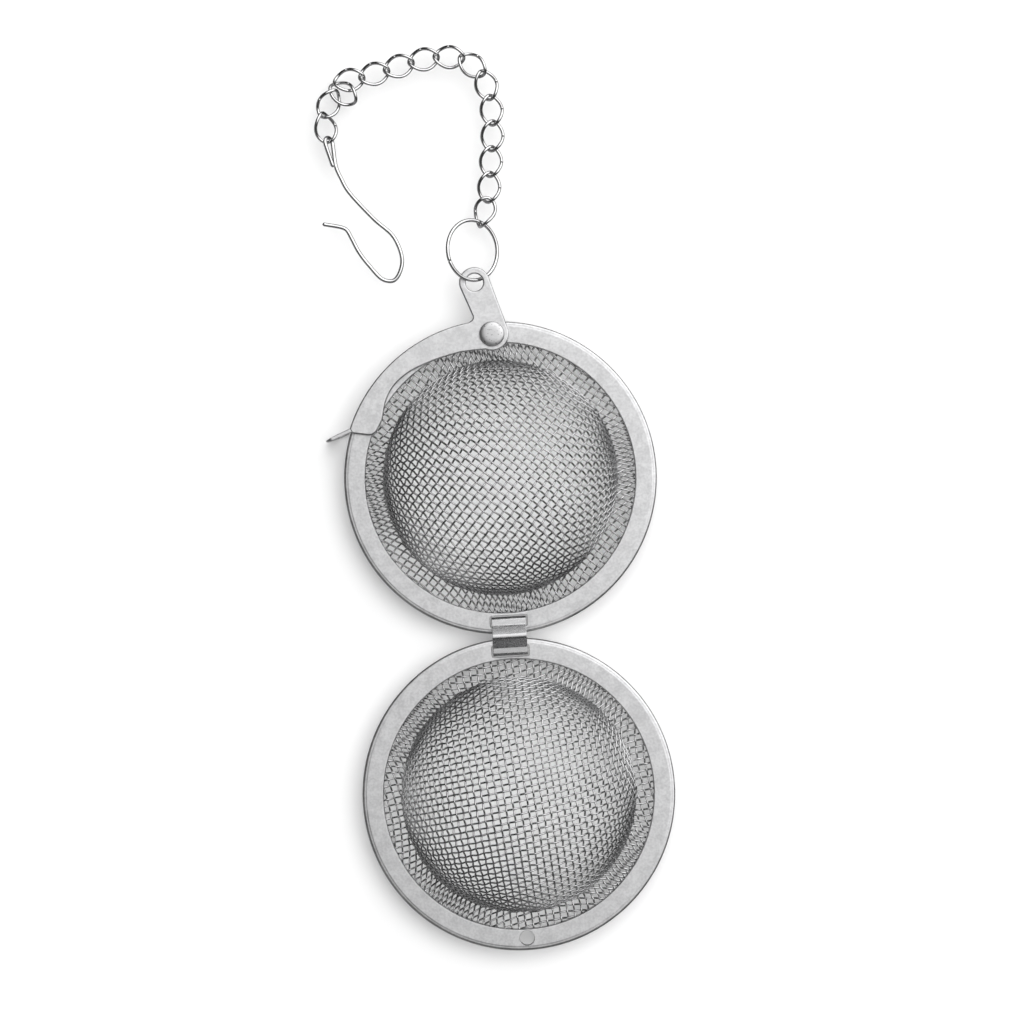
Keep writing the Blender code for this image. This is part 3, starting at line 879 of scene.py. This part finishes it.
def rim(half, side, hole_radius):
    """A rim with its hinge slot and its hole."""
    centre = RIM_CENTRE[half]
    slot_middle = RIM_REACH - EDGE_GAP / 2 - BAR_WIDTH - SLOT_WIDTH / 2

    def slot_outline(grown):
        x, y = SLOT_LENGTH / 2 + grown, SLOT_WIDTH / 2 + grown
        corners = [Vector((x, y)), Vector((-x, y)), Vector((-x, -y)), Vector((x, -y))]
        return rounded(corners, SLOT_CORNER + grown)

    def hole_outline(grown):
        return arc((0, 0), hole_radius + grown, 0, 2 * math.pi, HOLE_STEPS)[:-1]

    def cut(holder):
        tools = [
            cutter(half + "_slot", slot_outline, (0, -side * slot_middle, 0)),
            cutter(half + "_hole", hole_outline, (0, side * HOLE_REACH, 0)),
        ]
        for tool in tools:
            modifier = holder.modifiers.new(tool.name, "BOOLEAN")
            modifier.operation = "DIFFERENCE"
            modifier.object = tool
        return tools

    mesh = with_modifiers(half + "_rim_sheet", lathe(half, rim_section(), RIM_STEPS), cut)
    mesh.transform(Matrix.Translation(centre))
    return shaded(mesh)


def strap():
    """The strap's sheet, wrapped round both bars and open at a seam underneath."""
    corners = [
        Vector((STRAP_SEAM, STRAP_BELLY.y)),
        STRAP_BELLY,
        Vector((STRAP_REACH, -STRAP_NOSE)),
        Vector((STRAP_REACH, STRAP_NOSE)),
        STRAP_BROW,
        STRAP_CREASE,
    ]
    mirrored = [Vector((-corner.x, corner.y)) for corner in reversed(corners)]
    corners += [Vector((0, STRAP_CROWN)), *mirrored]
    line = rounded(corners, [*STRAP_BENDS, *STRAP_BENDS[-2::-1]], closed=False)
    inner = []
    for before, point, after in zip([line[0], *line], line, [*line[1:], line[-1]]):
        inner.append(point + (after - before).normalized().orthogonal() * STRAP_SHEET)
    mesh = plate("strap", line + inner[::-1], [], STRAP_LENGTH, STRAP_EDGE)
    mesh.transform(Matrix(((0, 0, 1, 0), (1, 0, 0, HINGE_Y), (0, 1, 0, BAR_Z), (0, 0, 0, 1))))
    return shaded(mesh)


# ---------------------------------------------------------------- latch


def lever_outline():
    """The lever from above, anticlockwise, measured from the rivet."""
    rim = Vector((0, RIM_CENTRE["upper"].y - RIVET_AT.y))
    right = math.atan2(EYE.y, EYE.x) - math.pi / 2
    back_radius = RIM_RADIUS + ARM_OVERHANG
    corner_angle = ARM_CORNER / back_radius
    boss = arc((0, 0), BOSS_RADIUS, BOSS_START, right, BOSS_STEPS)
    top = arc(EYE, EYE_RADIUS, right, right + math.pi, ARC_STEPS)
    neck = polar(rim, RIM_RADIUS + ARM_NECK_OVERHANG, ARM_NECK_ANGLE)
    shoulder = polar(rim, back_radius, ARM_SHOULDER_ANGLE)
    back = arc(rim, back_radius, ARM_BACK_ANGLE, ARM_TIP_ANGLE - corner_angle, ARM_BACK_STEPS)
    outer_corner = polar(rim, back_radius - ARM_CORNER, ARM_TIP_ANGLE)
    inner_corner = polar(rim, RIM_BORE - ARM_TIP_OUTSET / 2, ARM_TIP_ANGLE - ARM_TIP_SLANT)
    heel = polar(rim, RIM_BORE - ARM_TIP_OUTSET, ARM_HEEL_ANGLE)
    front = [polar(rim, RIM_BORE + reach * MM, math.radians(angle)) for angle, reach in ARM_FRONT]
    front = smooth_line([heel, *front, boss[0]], ARM_FRONT_STEPS)
    neck_bend = fillet(top[-1], neck, shoulder, ARM_NECK_BEND)
    tip_corners = [back[-1], outer_corner, inner_corner, heel, front[1]]
    tip = []
    for before, corner, after, bend in zip(tip_corners, tip_corners[1:], tip_corners[2:], ARM_TIP_BENDS):
        tip += fillet(before, corner, after, bend)
    return boss + top + neck_bend + [shoulder] + back + tip + front[1:-1]


def catch_blade():
    """The notched catch that hangs past the rims' edge, thinning towards its point."""
    rise = LEVER_Z - FACE_Z
    top = rise + LEVER_SHEET / 2 - CATCH_SINK
    under = rise - LEVER_SHEET / 2 + CATCH_LIFT
    jaw = -RIM_THICKNESS - CATCH_DROP
    bottom = jaw - CATCH_JAW
    reach = (CATCH_END - CATCH_START).length
    # Each corner, with the radius of its bend in mm.
    corners = [
        (Vector((-CATCH_ROOT, top)), 0.15),
        (Vector((-CATCH_ROOT, under)), 0.15),
        (Vector((CATCH_NOTCH, under)), 0.6),
        (Vector((CATCH_NOTCH, jaw)), 0.4),
        (Vector((CATCH_SLOT, jaw)), 0.2),
        (Vector((CATCH_SLOT, bottom)), 0.2),
        (Vector((reach, bottom)), 1.1),
        (Vector((reach, top)), 1.1),
    ]
    outline = rounded([corner for corner, _ in corners], [radius * MM for _, radius in corners])
    mesh = plate("catch", outline, [], CATCH_SHEET, CATCH_EDGE)
    for vertex in mesh.vertices:
        way = vertex.co.x - CATCH_NOTCH + CATCH_THINNING_LEAD
        past = min(1, max(0, way / (reach - CATCH_NOTCH + CATCH_THINNING_LEAD)))
        vertex.co.z *= 1 - CATCH_THINNING * past**CATCH_THINNING_POWER
    outward = CATCH_END - CATCH_START
    turn = Matrix.Rotation(math.atan2(outward.y, outward.x), 4, "Z") @ Matrix.Rotation(math.pi / 2, 4, "X")
    start = Vector((CATCH_START.x, RIVET_AT.y + CATCH_START.y, FACE_Z))
    mesh.transform(Matrix.Translation(start) @ turn)
    return mesh


def lever():
    """The stamped lever with its two holes, and the catch at its tip."""
    holes = [
        arc((0, 0), LEVER_HOLE_RADIUS, 0, 2 * math.pi, ARC_STEPS)[:-1],
        arc(EYE, EYE_HOLE_RADIUS, 0, 2 * math.pi, HOLE_STEPS)[:-1],
    ]
    body = plate("lever", lever_outline(), holes, LEVER_SHEET, ARM_EDGE)
    body.transform(Matrix.Translation((0, RIVET_AT.y, LEVER_Z)))

    def join(holder):
        catch = bpy.data.objects.new("catch", catch_blade())
        bpy.context.scene.collection.objects.link(catch)
        modifier = holder.modifiers.new("catch", "BOOLEAN")
        modifier.operation = "UNION"
        modifier.object = catch
        return [catch]

    mesh = with_modifiers("latch_lever_plate", body, join)
    merge_flats(mesh)
    return shaded(mesh)


def rivet():
    """A domed head, a shank through the lever and the rim, and a peened tail."""
    seat = LEVER_Z - FACE_Z + LEVER_SHEET / 2 + RIVET_PLAY
    head = []
    for step in range(RIVET_HEAD_STEPS + 1):
        turn = math.pi / 2 * step / RIVET_HEAD_STEPS
        radius = RIVET_HEAD_RADIUS * math.sin(turn) ** RIVET_FLATNESS
        head.append((radius, seat + RIVET_HEAD_HEIGHT * math.cos(turn) ** RIVET_FLATNESS))
    shank = [(RIVET_SHANK_RADIUS, seat), (RIVET_SHANK_RADIUS, -RIVET_PLAY)]
    tail_end = -RIVET_PLAY - RIVET_TAIL_HEIGHT
    corner = (RIVET_TAIL_RADIUS - RIVET_TAIL_BEND, tail_end + RIVET_TAIL_BEND)
    round_tail = arc(corner, RIVET_TAIL_BEND, 0, -math.pi / 2, RIVET_TAIL_STEPS)
    tail = [(RIVET_TAIL_RADIUS, -RIVET_PLAY), *[tuple(p) for p in round_tail], (0, tail_end)]
    mesh = lathe("rivet", head + shank + tail, RIVET_STEPS)
    mesh.transform(Matrix.Translation((0, RIVET_AT.y, FACE_Z)))
    return smooth(mesh)


# ---------------------------------------------------------------- ring, chain and hook


def wire(name, points, radii, sides):
    """One open length of bent wire."""
    line = [tuple(point) for point in points]
    return mesh_of_tubes(name, [tube(line, radii, sides)], sides)


def ring():
    """A bent ring with a hairline gap where its ends meet."""
    centre = joint_at("link_01_slide")
    tilt = Matrix.Rotation(RING_TILT, 3, "Y")
    gap = RING_GAP / RING_RADIUS
    line = arc((0, 0), RING_RADIUS, RING_GAP_AT + gap, RING_GAP_AT - gap + 2 * math.pi, RING_STEPS)
    points = [centre + tilt @ point.to_3d() for point in line]
    return wire("ring", points, RING_WIRE / 2, WIRE_SIDES)


def link_line():
    """A twisted oval about its own middle, long axis along X, open by a hairline on one side."""
    length = (LINK_LENGTH - LINK_WIRE) / 2
    width = (LINK_WIDTH - LINK_WIRE) / 2
    points = []
    for step in range(LINK_STEPS + 1):
        turn = math.pi / 2 + LINK_GAP + (2 * math.pi - 2 * LINK_GAP) * step / LINK_STEPS
        across = width * math.sin(turn)
        twist = LINK_TWIST * math.cos(turn)
        points.append(Vector((length * math.cos(turn), across * math.cos(twist), across * math.sin(twist))))
    return points


def node_axes(name):
    """A CAD node's middle and its principal axes, longest first, right-handed."""
    spots = np.array([vertex.co for vertex in NODES[name].data.vertices], float)
    middle = spots.mean(0)
    _, _, rows = np.linalg.svd(spots - middle, full_matrices=False)
    if np.linalg.det(rows) < 0:
        rows[2] = -rows[2]
    return Vector(middle), Matrix(rows.tolist()).transposed()


def link(name):
    """A chain link, laid where its CAD node lies."""
    middle, axes = node_axes(name)
    points = [middle + axes @ point for point in link_line()]
    return wire(name, points, LINK_WIRE / 2, LINK_SIDES)


def smooth_line(points, steps):
    """A centripetal Catmull-Rom curve through these points, with this many steps from one to the next."""
    points = [2 * points[0] - points[1], *points, 2 * points[-1] - points[-2]]
    line = []
    for p0, p1, p2, p3 in zip(points, points[1:], points[2:], points[3:]):
        t1 = (p1 - p0).length ** 0.5
        t2 = t1 + (p2 - p1).length ** 0.5
        t3 = t2 + (p3 - p2).length ** 0.5
        for step in range(steps):
            t = t1 + (t2 - t1) * step / steps
            a1 = p0.lerp(p1, t / t1)
            a2 = p1.lerp(p2, (t - t1) / (t2 - t1))
            a3 = p2.lerp(p3, (t - t2) / (t3 - t2))
            b1 = a1.lerp(a2, t / t2)
            b2 = a2.lerp(a3, (t - t1) / (t3 - t1))
            line.append(b1.lerp(b2, (t - t1) / (t2 - t1)))
    return line + [points[-2]]


def hook():
    """Bent wire: an eye round the last link, a shank, a bend and a turned-out tip."""
    middle = (HOOK_EYE_RADIUS - HOOK_EYE_SEAT, 0)
    head = arc(middle, HOOK_EYE_RADIUS, -HOOK_EYE_SPREAD, HOOK_EYE_SPREAD - 2 * math.pi, HOOK_EYE_STEPS)
    flat = [Vector((HOOK_EYE_LENGTH, -HOOK_TAIL)), *head, Vector((HOOK_EYE_LENGTH, HOOK_NECK))]
    heading, climb, roll = (math.radians(angle) for angle in HOOK_EYE_TURN)
    turn = Matrix.Rotation(heading, 3, "Z") @ Matrix.Rotation(-climb, 3, "Y")
    turn = turn @ Matrix.Rotation(roll, 3, "X")
    start = joint_at("hook_turn")
    eye = [start + turn @ point.to_3d() for point in flat]
    shank = [start + Vector((x, y, 0)) * MM for x, y in HOOK_SHANK]
    line, radii = round_tips(smooth_line([*eye, *shank], HOOK_STEPS), HOOK_WIRE / 2)
    return wire("hook_wire", line, radii, WIRE_SIDES)


# ---------------------------------------------------------------- the object

for half, side, cloth, hole in (
    ("upper", 1, UPPER_CLOTH, RIVET_HOLE_RADIUS),
    ("lower", -1, LOWER_CLOTH, TAIL_HOLE_RADIUS),
):
    body = half + "_half"
    turn, opening, pitch, cross_pitch = cloth
    quarters = net(opening, pitch, cross_pitch)
    middle = RIM_CENTRE[half] + Vector((0, 0, RIM_THICKNESS / 2))
    mesh_object(half + "_rim_sheet", rim(half, side, hole), SHEET, body, [half + "_rim"])
    warp = weave(half + "_warp", middle, quarters, turn, side, True)
    mesh_object(half + "_weave_warp", warp, WEAVE, body, [half + "_mesh"])
    weft = weave(half + "_weft", middle, quarters, turn, side, False)
    mesh_object(half + "_weave_weft", weft, WEAVE, body)

mesh_object("strap_sheet", strap(), STRAP, "hinge_strap", ["hinge_strap"])
mesh_object("lever_plate", lever(), SHEET, "latch_lever", ["latch_lever"])
mesh_object("rivet_head", rivet(), RIVET, "upper_half", ["latch_rivet"])
mesh_object("ring_wire", ring(), BENT_WIRE, "ring", ["ring"])
for number in range(1, LINKS + 1):
    node = f"chain_link_{number:02d}"
    mesh_object(node.replace("chain_", "") + "_wire", link(node), BENT_WIRE, node, [node])
mesh_object("hook_wire", hook(), BENT_WIRE, "hook", ["hook"])


# ---------------------------------------------------------------- studio


def floor():
    """A pale floor just under the object, which its steel doesn't mirror."""
    mesh = bpy.data.meshes.new("floor")
    level = cad_low.z - FLOOR_GAP
    corners = [(x * FLOOR_REACH, y * FLOOR_REACH, level) for x, y in ((-1, -1), (1, -1), (1, 1), (-1, 1))]
    mesh.from_pydata(corners, [], [(0, 1, 2, 3)])
    finish = Finish("pale_floor", (0.9, 0.9, 0.9), 0)
    finish.rough(finish.spread(finish.noise(30), 0.55, 0.65))
    mesh.materials.append(finish.material)
    made = bpy.data.objects.new("floor", mesh)
    bpy.context.scene.collection.objects.link(made)
    made.visible_glossy = False
    return made


def floor_light(name, level, shadows, lit):
    """A wide light overhead that only the floor receives, so that the floor stays pale and even."""
    light = bpy.data.lights.new(name, "AREA")
    light.size = FLOOR_LIGHT_SIZE
    light.energy = level * math.pi * FLOOR_LIGHT_SIZE**2
    light.use_shadow = shadows
    holder = bpy.data.objects.new(name, light)
    holder.location = (0, 0, FLOOR_LIGHT_HEIGHT)
    only = bpy.data.collections.new(name)
    only.objects.link(lit)
    holder.light_linking.receiver_collection = only
    bpy.context.scene.collection.objects.link(holder)


def world():
    """A soft light: bright from one side and overhead, dark around that, and dim from the far side."""
    made = bpy.data.worlds.new("studio")
    made.use_nodes = True
    tree = made.node_tree
    place = tree.nodes.new("ShaderNodeTexCoord")
    facing = tree.nodes.new("ShaderNodeVectorMath")
    facing.operation = "DOT_PRODUCT"
    facing.inputs[1].default_value = Vector(LIGHT_SIDE).normalized()
    share = tree.nodes.new("ShaderNodeMapRange")
    share.inputs["From Min"].default_value = -1
    ramp = tree.nodes.new("ShaderNodeValToRGB")
    for _ in range(len(LIGHT_STEPS) - 2):
        ramp.color_ramp.elements.new(0.5)
    for element, (cosine, level) in zip(ramp.color_ramp.elements, LIGHT_STEPS):
        element.position = (cosine + 1) / 2
        element.color = (level, level, level, 1)
    tree.links.new(place.outputs["Generated"], facing.inputs[0])
    tree.links.new(facing.outputs["Value"], share.inputs["Value"])
    tree.links.new(share.outputs["Result"], ramp.inputs["Fac"])
    tree.links.new(ramp.outputs["Color"], tree.nodes["Background"].inputs["Color"])
    bpy.context.scene.world = made


def camera():
    """A camera straight above, turned so that the object leans as it does in the photograph."""
    data = bpy.data.cameras.new("camera")
    data.sensor_width = CAMERA_SENSOR
    data.lens = CAMERA_SENSOR * CAMERA_HEIGHT / VIEW_WIDTH
    data.clip_start = CAMERA_NEAR
    holder = bpy.data.objects.new("camera", data)
    holder.location = (*VIEW_CENTRE, CAMERA_HEIGHT + FACE_Z + RIM_THICKNESS)
    holder.rotation_euler = (0, 0, -VIEW_ROLL)
    bpy.context.scene.collection.objects.link(holder)
    bpy.context.scene.camera = holder


ground = floor()
floor_light("floor_soft", FLOOR_SOFT, True, ground)
floor_light("floor_even", FLOOR_EVEN, False, ground)
world()
camera()
bpy.context.scene.view_settings.view_transform = "Standard"
